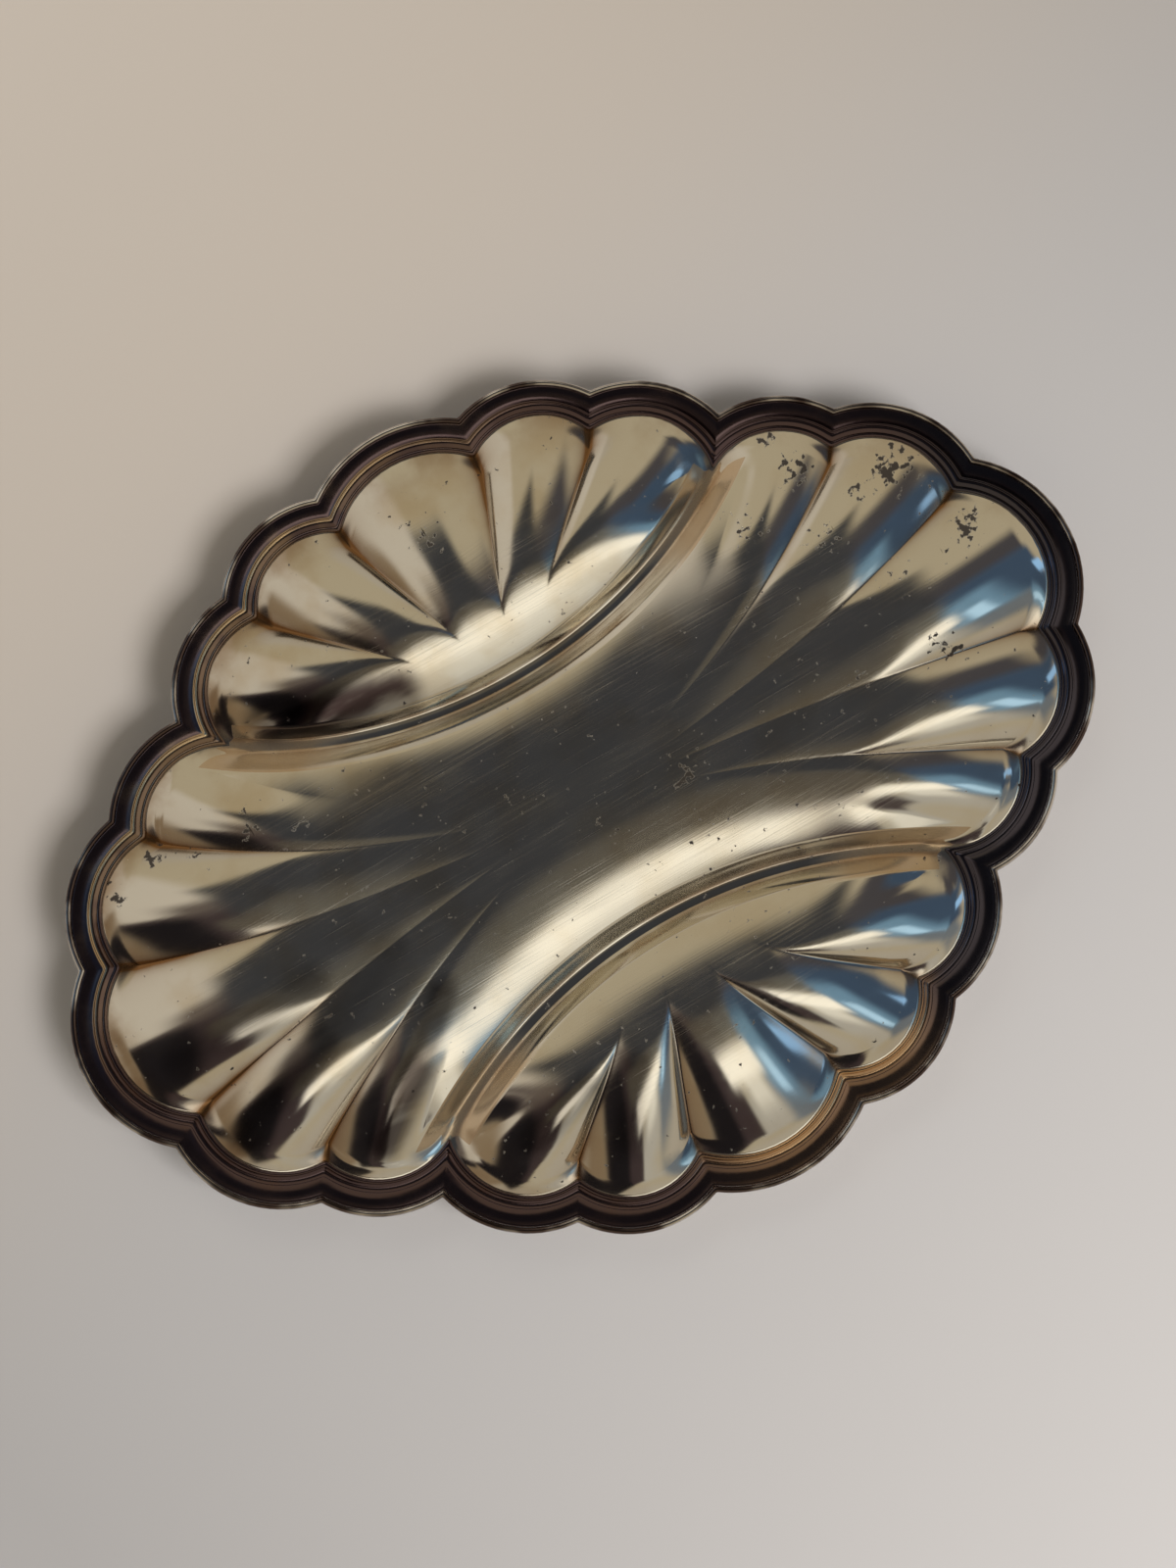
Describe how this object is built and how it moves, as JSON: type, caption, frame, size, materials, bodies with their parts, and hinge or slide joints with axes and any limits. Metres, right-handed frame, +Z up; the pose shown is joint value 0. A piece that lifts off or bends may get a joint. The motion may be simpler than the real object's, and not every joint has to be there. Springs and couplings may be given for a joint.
{
  "type": "divided serving platter",
  "caption": "Scalloped oval serving platter of plated sheet metal, divided into a long middle compartment and a fluted shell at each side, with a reeded border.",
  "frame": {"origin": "centre of the platter, on the plane that it stands on", "axes": "+X along the platter's length, +Y across it, towards a side compartment, +Z up"},
  "size_m": [0.3698, 0.281, 0.021],
  "materials": {
    "silver_plate": "polished silver plate with fine scratches and golden-brown tarnish",
    "tarnished_plate": "silver plate gone dark brown with tarnish",
    "edge_silver": "worn bright silver edge"
  },
  "bodies": {
    "root": {"pan": "silver_plate", "rim_border": "tarnished_plate", "edge_wire": "edge_silver"}
  },
  "joints": []
}
